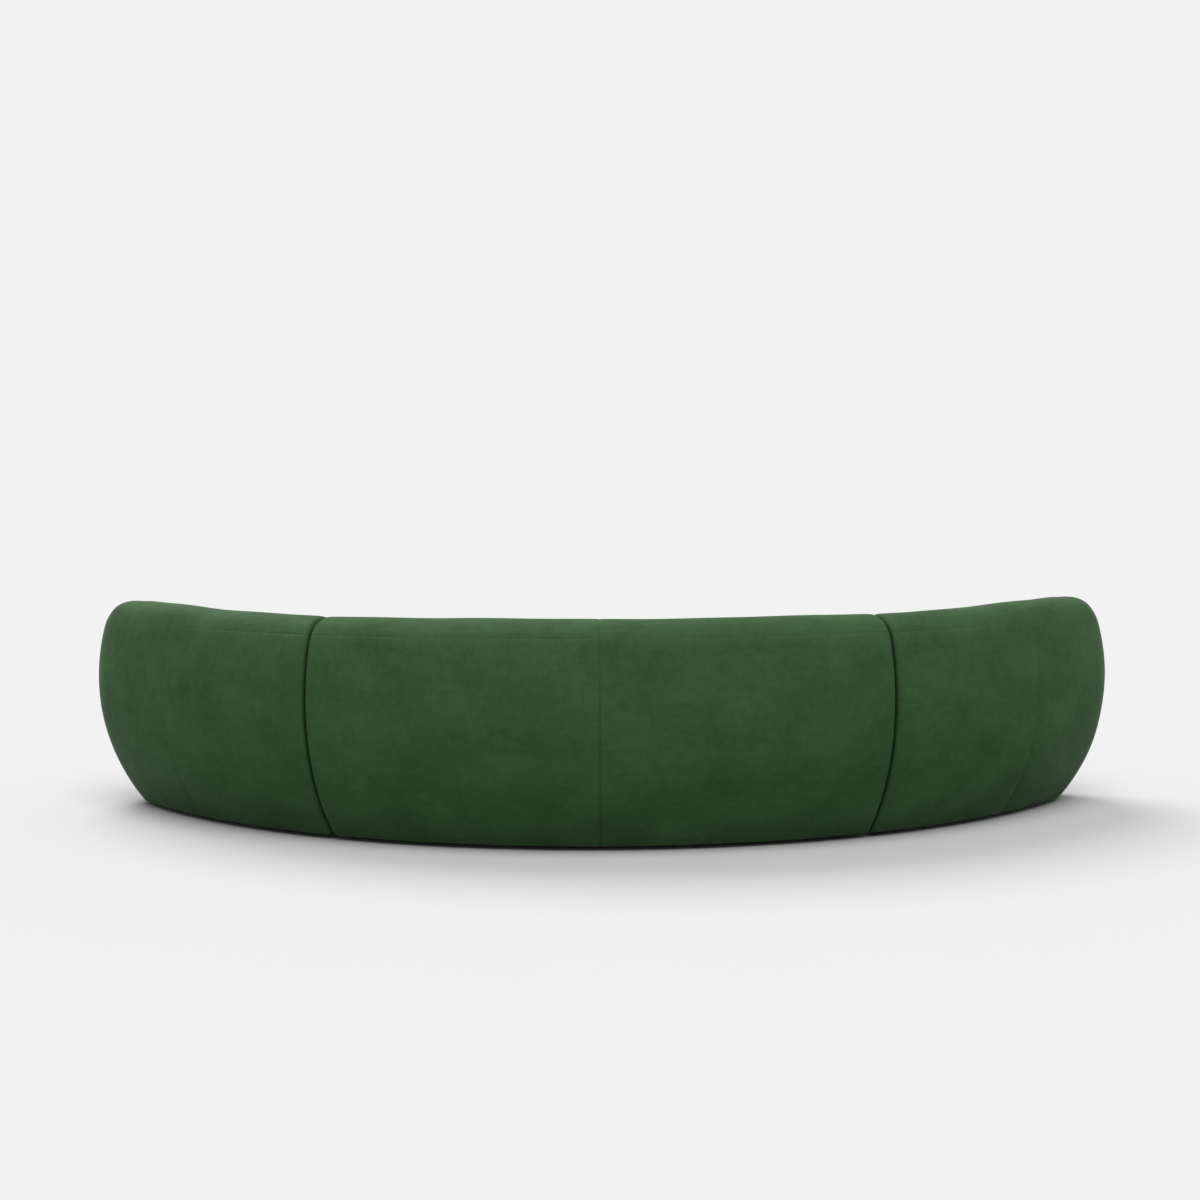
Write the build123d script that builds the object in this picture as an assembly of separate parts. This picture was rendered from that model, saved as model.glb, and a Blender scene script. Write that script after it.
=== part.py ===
from build123d import *
import os
from math import cos, hypot, radians, sin, sqrt, tan

# A curved sectional sofa of three upholstered modules on one plan arc. The middle module has two
# seats. Each end module has one, and its back wraps round the outer corner to a padded end panel.
# Every module is a timber back frame and a timber seat frame bolted together, with foam, webbing,
# velvet covers, dust covers and glides. The end modules hang on steel hooks and lift straight off.
# Millimetres, +Z up, front towards -Y, origin on the floor under the middle of the outline.

# Whole sofa
HEIGHT = 730.0  # floor to the top of the back
DEPTH = 980.0  # fullest point of the back to fullest point of the seat front
BACK_RADIUS = 2225.0  # plan radius of the back at its fullest point
JOINT_ANGLE = 25.0  # from the middle of the sofa to the joint between two modules, degrees
END_ANGLE = 52.5  # from the middle of the sofa to the start of the end corner, degrees
INSIDE_CORNER = 7.3  # plan radius of the end corner on its inside
CORNER_TURN = 60.0  # turn of the back round the end corner, degrees
FLOOR_GAP = 15.0  # floor to the underside of the covers

# Section of the back
BELLY_HEIGHT = 460.0  # height of the fullest point of the back
FOOT_INSET = 150.0  # fullest point of the back to its foot, which sets the curve of the outside
ROLL_RADIUS = 106.0  # roll over the top
BACK_LEAN = 14.0  # lean of the inside of the back, degrees
LEAN_FOOT = 380.0  # height at which the lean ends, hidden by the seat

# Section of the seat
SEAT_HEIGHT = 415.0  # height of the seat at its front roll
SEAT_SLOPE = 5.0  # rise of the crown where it leaves the front roll, degrees
SEAT_CROWN_RADIUS = 2650.0  # curve of the seat from front to back
SEAT_BELLY_HEIGHT = 235.0  # height of the fullest point of the seat front
SEAT_FOOT_INSET = 100.0  # fullest point of the seat front to its foot, which sets its curve
SEAT_ROLL_RADIUS = 90.0  # roll over the front edge of the seat
SEAT_CLEARANCE = 4.0  # seat cover to back cover and to the end panel

# Upholstery
COVER = 4.0  # velvet with its fibre lining
COVER_LIP = 15.0  # width of cover turned under the frame
EDGE_ROUND = 10.0  # rounding of the covers along the joints
OUTER_FOAM = 45.0  # outside of the back, cover included
INNER_FOAM = 60.0  # inside of the back, cover included
INNER_FOAM_FOOT = 300.0  # height at which the inside foam starts
TOP_FOAM = 68.0  # over the top rail, cover included
FACING = 40.0  # padded panel on the end of the back
FACING_ROUND = 26.0
DUST_COVER = 1.0
FIT = 0.3  # clearance between pieces that bear on each other

# Timber
BOARD = 22.0
MIDDLE_RIBS = (-12.0, 0.0, 12.0)  # angles of the ribs between the two end ribs
END_RIBS = (38.0,)
FRONT_RAIL_ROOM = 20.0  # foot of the seat front to the front rail
SEAT_RAIL_TOP = 290.0
SEAT_RIB_TOP = 230.0
REAR_RAIL_INSET = 16.0  # back of the seat cover to the rear rail
INNER_RAIL_FOOT = 150.0
INNER_RAIL_HEIGHT = 100.0
BLOCK = 60.0  # glide block, in plan
BLOCK_HEIGHT = 50.0
BLOCK_ROOM = 3.0  # glide block to the curved rail beside it

# Webbing
STRAP = 60.0
STRAP_THICKNESS = 2.0
STRAP_COUNT_MIDDLE = 8
STRAP_COUNT_END = 5
STRAP_MARGIN = 3.0  # joint or end to the nearest strap, degrees

# Glides, screws and bolts
GLIDE_RADIUS = 24.0
GLIDE_CHAMFER = 2.0
GLIDE_HOLE_CLEARANCE = 2.0
GLIDE_EDGE = 9.0  # glide to the outer edge of the base rail
GLIDES_MIDDLE = (-21.0, 0.0, 21.0)  # angles of the glides under the base rail
GLIDES_END = (30.0, 50.0)
HEAD_RECESS_DEPTH = 8.0
HEAD_RECESS_RADIUS = 6.0
SCREW_RADIUS = 2.25
SCREW_HEAD_RADIUS = 4.5
SCREW_HEAD = 2.0
SCREW_LENGTH = 24.0
BOLT_RADIUS = 4.0
BOLT_HOLE_CLEARANCE = 0.3
BOLT_HEAD_RADIUS = 10.0
BOLT_HEAD = 5.0
BOLT_TAIL = 12.0
NUT_RADIUS = 7.5
NUT = 6.5
BOLT_HEIGHT = INNER_RAIL_FOOT + INNER_RAIL_HEIGHT / 2
BOLTS_MIDDLE = (-18.0, -6.0, 6.0, 18.0)
BOLTS_END = (32.0, 45.0)

# Steel hooks between the modules
PLATE = 2.5
PLATE_WIDTH = 60.0
SOCKET_FOOT = 70.0  # height of the lower edge of the socket plate
SOCKET_HEIGHT = 80.0
POCKET_FOOT = 25.0  # lower edge of the socket plate to the pocket
POCKET_HEIGHT = 35.0
POCKET_WIDTH = 32.0
POCKET_DEPTH = 3.5
POCKET_ROOM = 1.5  # pocket to the cover of the end module
POCKET_WALL = 4.0
TONGUE_CLEARANCE = 1.0  # each side of the tongue, across its width
HOOK_RISE = 7.0  # top of the pocket to the lower edge of the hook plate
HOOK_HEIGHT = 78.0
PLATE_SCREW_EDGE = 8.0  # screw centre to the edge of a plate
HOOK_INSET = 90.0  # hook centre to the end of the seat rib

# Lines worked out from the sizes above
MODULE_GAP = 2 * PLATE + POCKET_DEPTH + POCKET_ROOM  # between the covers of two modules
FRAME_FOOT = FLOOR_GAP + COVER
FRONT_RADIUS = BACK_RADIUS - DEPTH
LEAN = radians(BACK_LEAN)
BELLY_RADIUS = ((BELLY_HEIGHT - FLOOR_GAP) ** 2 + FOOT_INSET**2) / (2 * FOOT_INSET)
BELLY_AXIS = BACK_RADIUS - BELLY_RADIUS
ROLL_RISE = HEIGHT - ROLL_RADIUS - BELLY_HEIGHT
ROLL_RUN = sqrt((BELLY_RADIUS - ROLL_RADIUS) ** 2 - ROLL_RISE**2)
ROLL_AXIS = BELLY_AXIS + ROLL_RUN
ROLL_HEIGHT = HEIGHT - ROLL_RADIUS
TOP_RAIL_TOP = HEIGHT - TOP_FOAM
RIB_TOP = TOP_RAIL_TOP - BOARD
FAR = 4000.0  # reach of the cutting blocks


def lean_line(inset, height):
    """Radius of the leaning inside of the back, drawn inset inside the cover, at a height."""
    start_radius = ROLL_AXIS - (ROLL_RADIUS - inset) * cos(LEAN)
    start_height = ROLL_HEIGHT + (ROLL_RADIUS - inset) * sin(LEAN)
    return start_radius - (start_height - height) * tan(LEAN)


def lean_foot(inset):
    """Height at which the lean line meets the upright inside of the back at the same inset."""
    return LEAN_FOOT + (BACK_INSIDE + inset - lean_line(inset, LEAN_FOOT)) / tan(LEAN)


def belly_line(inset, height):
    """Radius of the outside of the back, drawn inset inside the cover, at a height."""
    return BELLY_AXIS + sqrt((BELLY_RADIUS - inset) ** 2 - (height - BELLY_HEIGHT) ** 2)


BACK_INSIDE = lean_line(0, LEAN_FOOT)
SEAT_BACK = BACK_INSIDE - SEAT_CLEARANCE
SEAT_BELLY_RISE = SEAT_BELLY_HEIGHT - FLOOR_GAP
SEAT_BELLY_RADIUS = (SEAT_BELLY_RISE**2 + SEAT_FOOT_INSET**2) / (2 * SEAT_FOOT_INSET)
SEAT_BELLY_AXIS = FRONT_RADIUS + SEAT_BELLY_RADIUS
BACK_UNDERSIDE = (BACK_INSIDE, BACK_RADIUS - FOOT_INSET)
SEAT_UNDERSIDE = (FRONT_RADIUS + SEAT_FOOT_INSET, SEAT_BACK)
CORNER_AXIS = BACK_INSIDE - INSIDE_CORNER
SEAT_END = INSIDE_CORNER - SEAT_CLEARANCE
FRONT_RAIL = FRONT_RADIUS + SEAT_FOOT_INSET + FRONT_RAIL_ROOM
REAR_RAIL = SEAT_BACK - REAR_RAIL_INSET - BOARD
INNER_RAIL = BACK_INSIDE + COVER + FIT
BASE_RAIL_OUTSIDE = belly_line(OUTER_FOAM + FIT, FRAME_FOOT)
BOLT_SEAT = REAR_RAIL - FIT
BASE_GLIDE = BASE_RAIL_OUTSIDE - GLIDE_EDGE - GLIDE_RADIUS
HOOK_RADII = (FRONT_RAIL + BOARD + HOOK_INSET, REAR_RAIL - HOOK_INSET)


def point(radius, height):
    """A point of a section, which is drawn in the XZ plane with its radius along X."""
    return (radius, 0, height)


def face_of(*edges):
    return Face(Wire(edges))


def outline(*corners):
    """A straight-sided section through corners given as radius and height."""
    return Face(Wire.make_polygon([point(*corner) for corner in corners]))


def band(inner, outer, foot, top):
    """A rectangular section."""
    return outline((inner, foot), (outer, foot), (outer, top), (inner, top))


def back_section(inset, foot):
    """The back from its foot over the belly and the roll, and down the leaning inside."""
    belly, roll = BELLY_RADIUS - inset, ROLL_RADIUS - inset
    span = hypot(ROLL_RUN, ROLL_RISE)
    heel = point(belly_line(inset, foot), foot)
    fullest = point(BELLY_AXIS + belly, BELLY_HEIGHT)
    shoulder = point(BELLY_AXIS + belly * ROLL_RUN / span, BELLY_HEIGHT + belly * ROLL_RISE / span)
    apex = point(ROLL_AXIS, ROLL_HEIGHT + roll)
    brow = point(ROLL_AXIS - roll * cos(LEAN), ROLL_HEIGHT + roll * sin(LEAN))
    knee = point(BACK_INSIDE + inset, lean_foot(inset))
    toe = point(BACK_INSIDE + inset, foot)
    return face_of(
        ThreePointArc(heel, fullest, shoulder),
        ThreePointArc(shoulder, apex, brow),
        Line(brow, knee),
        Line(knee, toe),
        Line(toe, heel),
    )


def seat_section(inset, foot):
    """The seat from its foot over the front belly and roll, and along the crowned top."""
    slope = radians(SEAT_SLOPE)
    belly, roll = SEAT_BELLY_RADIUS - inset, SEAT_ROLL_RADIUS - inset
    rise = SEAT_HEIGHT - SEAT_ROLL_RADIUS - SEAT_BELLY_HEIGHT
    span = SEAT_BELLY_RADIUS - SEAT_ROLL_RADIUS
    run = sqrt(span**2 - rise**2)
    roll_axis, roll_height = SEAT_BELLY_AXIS - run, SEAT_BELLY_HEIGHT + rise
    crown = SEAT_CROWN_RADIUS - inset
    drop = SEAT_CROWN_RADIUS - SEAT_ROLL_RADIUS
    crown_axis, crown_height = roll_axis + drop * sin(slope), roll_height - drop * cos(slope)

    def crown_point(radius):
        return point(radius, crown_height + sqrt(crown**2 - (radius - crown_axis) ** 2))

    toe = point(SEAT_BELLY_AXIS - sqrt(belly**2 - (SEAT_BELLY_HEIGHT - foot) ** 2), foot)
    fullest = point(SEAT_BELLY_AXIS - belly, SEAT_BELLY_HEIGHT)
    shoulder = point(SEAT_BELLY_AXIS - belly * run / span, SEAT_BELLY_HEIGHT + belly * rise / span)
    half_turn = radians(45)
    nose = point(roll_axis - roll * sin(half_turn), roll_height + roll * cos(half_turn))
    brow = point(roll_axis - roll * sin(slope), roll_height + roll * cos(slope))
    rear_radius = SEAT_BACK - inset
    rear = crown_point(rear_radius)
    return face_of(
        ThreePointArc(toe, fullest, shoulder),
        ThreePointArc(shoulder, nose, brow),
        ThreePointArc(brow, crown_point((brow[0] + rear_radius) / 2), rear),
        Line(rear, point(rear_radius, foot)),
        Line(point(rear_radius, foot), toe),
    )


# Places along the plan. Angles run from the middle of the sofa towards +X.


def on_arc(angle, ahead=0.0):
    """Carries a section to an angle of the plan arc, or a little further ahead along it."""
    return Rot(0, 0, 90 - angle) * Pos(0, -ahead, 0)


def in_corner(turn):
    """Carries a section round the end corner."""
    return on_arc(END_ANGLE) * Pos(CORNER_AXIS, 0, 0) * Rot(0, 0, -turn) * Pos(-CORNER_AXIS, 0, 0)


def around(face, start, stop):
    return Rot(0, 0, 90 - stop) * revolve(face, Axis.Z, stop - start)


def block_ahead(angle, ahead):
    """Everything beyond a plane that stands parallel to the radial plane at an angle."""
    return on_arc(angle, ahead) * Pos(FAR / 2, -FAR / 2, 0) * Box(FAR, FAR, FAR)


def block_behind(angle, ahead):
    return on_arc(angle, ahead) * Pos(FAR / 2, FAR / 2, 0) * Box(FAR, FAR, FAR)


def middle_sweep(face, inset):
    """A section swept through the middle module, stopping inset inside its two side covers."""
    side = MODULE_GAP / 2 + inset
    swept = around(face, -JOINT_ANGLE, JOINT_ANGLE)
    return swept - block_ahead(JOINT_ANGLE, -side) - block_behind(-JOINT_ANGLE, side)


def arc_sweep(face, inset):
    """A section swept along the arc of an end module, from its side cover to the end corner."""
    return around(face, JOINT_ANGLE, END_ANGLE) - block_behind(JOINT_ANGLE, MODULE_GAP / 2 + inset)


def corner_sweep(face, inset):
    """A section swept from the side cover round the end corner to the end panel."""
    axis = Axis((CORNER_AXIS, 0, 0), (0, 0, -1))
    corner = on_arc(END_ANGLE) * revolve(face, axis, CORNER_TURN)
    beyond = in_corner(CORNER_TURN) * Pos(CORNER_AXIS, inset - FAR / 2, 0) * Box(FAR, FAR, FAR)
    return arc_sweep(face, inset) + corner - beyond


def inner_rail_sweep(face, inset):
    """The inner rail's section swept from the side cover to the last rib on the arc."""
    return arc_sweep(face, inset) - block_ahead(END_ANGLE, -BOARD / 2)


def seat_sweep(face, inset):
    """A section swept through an end module's seat, from its side cover to its end."""
    swept = around(face, JOINT_ANGLE, END_ANGLE + 1) - block_behind(JOINT_ANGLE, MODULE_GAP / 2 + inset)
    return swept - block_ahead(END_ANGLE, SEAT_END - inset)


def rounded_sides(solid):
    """Rounds a swept cover along its two flat sides, apart from the underside."""
    flat = [face for face in solid.faces() if face.geom_type == GeomType.PLANE]
    upright = [face for face in flat if abs(face.normal_at().Z) < FIT]
    sides = sorted(upright, key=lambda face: face.area)[-2:]
    edges = [edge for side in sides for edge in side.edges() if edge.center().Z > FRAME_FOOT]
    return fillet(edges, EDGE_ROUND)


def opening(underside, room, foot, top):
    """Section of the opening under a cover, room smaller all round."""
    inner, outer = underside
    lip = COVER + COVER_LIP + room
    return band(inner + lip, outer - lip, foot, top)


def cover_shell(section, underside, sweep):
    """A velvet cover: the swept outside, hollow, open underneath inside its turned-under lip."""
    outside = rounded_sides(sweep(section(0, FLOOR_GAP), 0))
    inside = sweep(section(COVER, FRAME_FOOT), COVER)
    mouth = sweep(opening(underside, 0, 0, FRAME_FOOT + COVER), COVER + COVER_LIP)
    return outside - inside - mouth


def dust_sheet(underside, sweep):
    """A dust cover inside the lip of the cover, tacked to the underside of the timber."""
    sheet = opening(underside, FIT, FRAME_FOOT - DUST_COVER, FRAME_FOOT)
    return sweep(sheet, COVER + COVER_LIP + FIT)


# Pieces that are the same in every module, apart from how their sections are swept


def outer_foam_section():
    """Foam over the outside and the top, cut away where the frame stands."""
    low = FRAME_FOOT - COVER
    high = TOP_RAIL_TOP
    heel = point(belly_line(OUTER_FOAM, low), low)
    fullest = point(belly_line(OUTER_FOAM, BELLY_HEIGHT), BELLY_HEIGHT)
    shoulder = point(belly_line(OUTER_FOAM, high), high)
    left_low = point(CORNER_AXIS, low)
    left_high = point(CORNER_AXIS, high)
    frame_space = face_of(
        ThreePointArc(heel, fullest, shoulder),
        Line(shoulder, left_high),
        Line(left_high, left_low),
        Line(left_low, heel),
    )
    return back_section(COVER + FIT, FRAME_FOOT + FIT) - frame_space


def inner_foam_section():
    """Foam on the leaning inside of the back, up to the foam over the top."""
    high = TOP_RAIL_TOP - FIT
    pad = outline(
        (CORNER_AXIS, INNER_FOAM_FOOT),
        (lean_line(INNER_FOAM, INNER_FOAM_FOOT), INNER_FOAM_FOOT),
        (lean_line(INNER_FOAM, high), high),
        (CORNER_AXIS, high),
    )
    return back_section(COVER + FIT, FRAME_FOOT) & pad


def seat_foam_section():
    """Foam over the webbing, with the front roll hanging in front of the front rail."""
    webbing_top = SEAT_RAIL_TOP + STRAP_THICKNESS
    frame_space = band(FRONT_RAIL - FIT, BACK_RADIUS, 0, webbing_top)
    return seat_section(COVER + FIT, FRAME_FOOT + FIT) - frame_space


def rib_section(room):
    """A back rib between the base rail and the top rail, with room between it and the outer foam."""
    low = FRAME_FOOT + BOARD
    edge = OUTER_FOAM + room
    heel = point(belly_line(edge, low), low)
    fullest = point(belly_line(edge, BELLY_HEIGHT), BELLY_HEIGHT)
    shoulder = point(belly_line(edge, RIB_TOP), RIB_TOP)
    brow = point(lean_line(INNER_FOAM + FIT, RIB_TOP), RIB_TOP)
    step_height = INNER_FOAM_FOOT - FIT
    step = point(lean_line(INNER_FOAM + FIT, step_height), step_height)
    ledge = point(INNER_RAIL, step_height)
    toe = point(INNER_RAIL, low)
    return face_of(
        ThreePointArc(heel, fullest, shoulder),
        Line(shoulder, brow),
        Line(brow, step),
        Line(step, ledge),
        Line(ledge, toe),
        Line(toe, heel),
    )


def base_rail_section():
    return band(INNER_RAIL, BASE_RAIL_OUTSIDE, FRAME_FOOT, FRAME_FOOT + BOARD)


def top_rail_section():
    inside = lean_line(INNER_FOAM + FIT, TOP_RAIL_TOP)
    outside = belly_line(OUTER_FOAM + FIT, TOP_RAIL_TOP)
    return band(inside, outside, RIB_TOP, TOP_RAIL_TOP)


def inner_rail_section(room):
    top = INNER_RAIL_FOOT + INNER_RAIL_HEIGHT
    return band(INNER_RAIL, INNER_RAIL + BOARD + room, INNER_RAIL_FOOT - room, top + room)


def front_rail_section():
    return band(FRONT_RAIL, FRONT_RAIL + BOARD, FRAME_FOOT, SEAT_RAIL_TOP)


def rear_rail_section():
    return band(REAR_RAIL, REAR_RAIL + BOARD, FRAME_FOOT, SEAT_RAIL_TOP)


def back_rib(room=FIT):
    return extrude(rib_section(room), BOARD / 2, both=True)


def end_rib():
    """The flat rib behind the end panel, drawn in by what its thickness adds in the curved foam."""
    tightest = belly_line(OUTER_FOAM, FRAME_FOOT + BOARD) - CORNER_AXIS
    room = FIT + tightest - sqrt(tightest**2 - (COVER + BOARD) ** 2)
    return in_corner(CORNER_TURN) * Pos(0, COVER + BOARD / 2, 0) * back_rib(room)


def seat_rib():
    """A board between the front rail and the rear rail."""
    start, stop = FRONT_RAIL + BOARD + FIT, REAR_RAIL - 3 * FIT
    height = SEAT_RIB_TOP - FRAME_FOOT
    middle = ((start + stop) / 2, 0, FRAME_FOOT + height / 2)
    return Pos(*middle) * Box(stop - start, BOARD, height)


def strap():
    start, stop = FRONT_RAIL + BOARD / 4, REAR_RAIL + BOARD * 3 / 4
    middle = ((start + stop) / 2, 0, SEAT_RAIL_TOP + STRAP_THICKNESS / 2)
    return Pos(*middle) * Box(stop - start, STRAP, STRAP_THICKNESS)


def glide():
    """A plastic disc that reaches from the floor to the timber, recessed for its screw."""
    disc = extrude(Circle(GLIDE_RADIUS), FRAME_FOOT)
    disc = chamfer(disc.edges().group_by(Axis.Z)[0], GLIDE_CHAMFER)
    disc -= extrude(Circle(HEAD_RECESS_RADIUS), HEAD_RECESS_DEPTH)
    return disc - extrude(Circle(SCREW_RADIUS + FIT), FRAME_FOOT)


def screw():
    """A pan-head wood screw, its head below the XY plane and its shank along +Z."""
    head = Pos(0, 0, -SCREW_HEAD) * extrude(Circle(SCREW_HEAD_RADIUS), SCREW_HEAD)
    return head + extrude(Circle(SCREW_RADIUS), SCREW_LENGTH)


def along_radius():
    """Turns a fastener drawn along +Z to point away from the arc centre."""
    return Rot(0, 90, 0)


def bolt():
    """A joining bolt drawn along +Z, its head against the plane of the rear rail."""
    reach = INNER_RAIL + BOARD + BOLT_TAIL - BOLT_SEAT
    head = Pos(0, 0, -BOLT_HEAD) * extrude(Circle(BOLT_HEAD_RADIUS), BOLT_HEAD)
    return head + extrude(Circle(BOLT_RADIUS), reach)


def nut():
    start = INNER_RAIL + BOARD - BOLT_SEAT
    hexagon = RegularPolygon(NUT_RADIUS, 6) - Circle(BOLT_RADIUS)
    return Pos(0, 0, start) * extrude(hexagon, NUT)


def bolt_hole():
    reach = INNER_RAIL + BOARD + BOLT_TAIL - BOLT_SEAT
    return Pos(0, 0, -BOLT_HEAD) * extrude(Circle(BOLT_RADIUS + BOLT_HOLE_CLEARANCE), reach + BOLT_HEAD)


def at_bolt(angle):
    return on_arc(angle) * Pos(BOLT_SEAT, 0, BOLT_HEIGHT) * along_radius()


# Steel hooks. Drawn at the origin: X along the radius, -Y from the middle module to the end module.
# The joint plane is Y = 0, so the middle module's cover is at +gap/2 and the end module's at -gap/2.


def socket_plate():
    """A plate on the middle module with a bridge across it that makes the pocket."""
    cover = MODULE_GAP / 2
    plate = Box(PLATE_WIDTH, PLATE, SOCKET_HEIGHT)
    plate = Pos(0, cover - PLATE / 2, SOCKET_FOOT + SOCKET_HEIGHT / 2) * plate
    depth = POCKET_DEPTH + PLATE
    middle = SOCKET_FOOT + POCKET_FOOT + POCKET_HEIGHT / 2
    bridge = Box(POCKET_WIDTH + 2 * POCKET_WALL, depth, POCKET_HEIGHT)
    bridge -= Pos(0, PLATE / 2, 0) * Box(POCKET_WIDTH, POCKET_DEPTH, POCKET_HEIGHT)
    plate += Pos(0, cover - PLATE - depth / 2, middle) * bridge
    for place in socket_screws():
        plate -= place * extrude(Circle(SCREW_RADIUS + FIT), -PLATE * 2, both=True)
    return plate


def hook_plate():
    """A plate on the end module with a tongue that steps across and hangs in the pocket."""
    cover = -MODULE_GAP / 2
    foot = hook_foot()
    width = POCKET_WIDTH - 2 * TONGUE_CLEARANCE
    plate = Box(PLATE_WIDTH, PLATE, HOOK_HEIGHT)
    plate = Pos(0, cover + PLATE / 2, foot + HOOK_HEIGHT / 2) * plate
    pocket_middle = MODULE_GAP / 2 - PLATE - POCKET_DEPTH / 2
    tongue_face = pocket_middle + PLATE / 2
    step = tongue_face - cover
    plate += Pos(0, cover + step / 2, foot + HOOK_RISE / 2) * Box(width, step, HOOK_RISE)
    tip = SOCKET_FOOT + POCKET_FOOT
    plate += Pos(0, pocket_middle, (tip + foot) / 2) * Box(width, PLATE, foot - tip)
    for place in hook_screws():
        plate -= place * extrude(Circle(SCREW_RADIUS + FIT), -PLATE * 2, both=True)
    return plate


def hook_foot():
    return SOCKET_FOOT + POCKET_FOOT + POCKET_HEIGHT + HOOK_RISE


def plate_corners(foot, height):
    side = PLATE_WIDTH / 2 - PLATE_SCREW_EDGE
    for across in (-side, side):
        for up in (foot + PLATE_SCREW_EDGE, foot + height - PLATE_SCREW_EDGE):
            yield across, up


def socket_screws():
    """Places of the socket screws, which run from the plate into the middle module."""
    face = MODULE_GAP / 2 - PLATE
    return [Pos(x, face, z) * Rot(-90, 0, 0) for x, z in plate_corners(SOCKET_FOOT, SOCKET_HEIGHT)]


def hook_screws():
    face = -MODULE_GAP / 2 + PLATE
    return [Pos(x, face, z) * Rot(90, 0, 0) for x, z in plate_corners(hook_foot(), HOOK_HEIGHT)]


def at_hooks():
    return [on_arc(JOINT_ANGLE) * Pos(radius, 0, 0) for radius in HOOK_RADII]


def block(rear):
    """A glide block in a front or rear corner of the seat frame."""
    if rear:
        middle = REAR_RAIL - BLOCK_ROOM - BLOCK / 2
    else:
        middle = FRONT_RAIL + BOARD + BLOCK_ROOM + BLOCK / 2
    return Pos(middle, 0, FRAME_FOOT)


def block_solid():
    return extrude(Rectangle(BLOCK, BLOCK), BLOCK_HEIGHT)


def end_facing():
    """A padded panel on the end of the back, rounded all round its front."""
    panel = extrude(back_section(0, FLOOR_GAP), FACING, dir=(0, -1, 0))
    front = panel.faces().sort_by(Axis.Y)[0]
    edges = [edge for edge in front.edges() if edge.center().Z > FRAME_FOOT]
    return in_corner(CORNER_TURN) * fillet(edges, FACING_ROUND)


def drill(nodes, names, tool, places):
    """Cuts a tool at every place out of the solids of the named nodes."""
    tools = [place * tool for place in places]
    for name in names:
        nodes[name] = [cut(solid, tools) for solid in nodes[name]]


def cut(solid, tools):
    for tool in tools:
        solid = solid - tool
    return solid


def spread(start, stop, count):
    return [start + (stop - start) * step / (count - 1) for step in range(count)]


def fasten(nodes, glides, bolts, plate_screws):
    """Adds glides, screws and bolts to a module and drills the pieces that they pass through."""
    recess = Pos(0, 0, HEAD_RECESS_DEPTH)
    glide_screws = [place * recess for place in glides]
    pilot = extrude(Circle(SCREW_RADIUS), SCREW_LENGTH)
    passage = extrude(Circle(SCREW_RADIUS + FIT), SCREW_LENGTH)
    mouth = extrude(Circle(GLIDE_RADIUS + GLIDE_HOLE_CLEARANCE), FRAME_FOOT + FIT)
    nodes["glides"] = [place * glide() for place in glides]
    nodes["screws"] = [place * screw() for place in glide_screws + plate_screws]
    nodes["joining_bolts"] = [at_bolt(angle) * piece() for angle in bolts for piece in (bolt, nut)]
    drill(nodes, ("seat_cover", "back_cover", "rear_rail", "inner_rail"), bolt_hole(), map(at_bolt, bolts))
    drill(nodes, ("glide_blocks", "base_rail"), pilot, glide_screws)
    drill(nodes, ("seat_ribs",), pilot, plate_screws)
    drill(nodes, ("seat_cover",), passage, plate_screws)
    drill(nodes, ("dust_covers",), mouth, glides)


def middle_module():
    """The two-seat middle module, with sockets on both its sides."""
    side = MODULE_GAP / 2 + COVER
    rib_places = [on_arc(angle) for angle in MIDDLE_RIBS]
    rib_places += [on_arc(-JOINT_ANGLE, side + BOARD / 2), on_arc(JOINT_ANGLE, -side - BOARD / 2)]
    reach = side + BOARD + FIT + BLOCK / 2
    corners = [(-JOINT_ANGLE, reach), (0, BOARD / 2 + FIT + BLOCK / 2), (JOINT_ANGLE, -reach)]
    blocks = [on_arc(*corner) * block(rear) for corner in corners for rear in (False, True)]
    straps = spread(STRAP_MARGIN - JOINT_ANGLE, JOINT_ANGLE - STRAP_MARGIN, STRAP_COUNT_MIDDLE)
    notch = around(inner_rail_section(FIT), -JOINT_ANGLE, JOINT_ANGLE)
    nodes = {
        "back_cover": [cover_shell(back_section, BACK_UNDERSIDE, middle_sweep)],
        "seat_cover": [cover_shell(seat_section, SEAT_UNDERSIDE, middle_sweep)],
        "dust_covers": [dust_sheet(BACK_UNDERSIDE, middle_sweep), dust_sheet(SEAT_UNDERSIDE, middle_sweep)],
        "outer_foam": [middle_sweep(outer_foam_section(), COVER + FIT)],
        "inner_foam": [middle_sweep(inner_foam_section(), COVER + FIT)],
        "seat_foam": [middle_sweep(seat_foam_section(), COVER + FIT)],
        "webbing": [on_arc(angle) * strap() for angle in straps],
        "front_rail": [middle_sweep(front_rail_section(), COVER)],
        "rear_rail": [middle_sweep(rear_rail_section(), COVER)],
        "seat_ribs": [place * seat_rib() for place in rib_places],
        "glide_blocks": [place * block_solid() for place in blocks],
        "back_ribs": [place * back_rib() - notch for place in rib_places],
        "base_rail": [middle_sweep(base_rail_section(), COVER)],
        "inner_rail": [middle_sweep(inner_rail_section(0), COVER)],
        "top_rail": [middle_sweep(top_rail_section(), COVER)],
    }
    right_hooks = at_hooks()
    nodes["socket_plates"] = [place * socket_plate() for place in right_hooks]
    nodes["socket_plates"] += [mirror(plate, Plane.YZ) for plate in nodes["socket_plates"]]
    right_screws = [place * spot for place in right_hooks for spot in socket_screws()]
    left_screws = [mirrored_place(place) for place in right_screws]
    base = [on_arc(angle) * Pos(BASE_GLIDE, 0, 0) for angle in GLIDES_MIDDLE]
    fasten(nodes, floor_places(blocks) + base, BOLTS_MIDDLE, right_screws + left_screws)
    return nodes


def floor_places(places):
    """Drops glide-block places to the floor."""
    return [Pos(0, 0, -FRAME_FOOT) * place for place in places]


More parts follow.
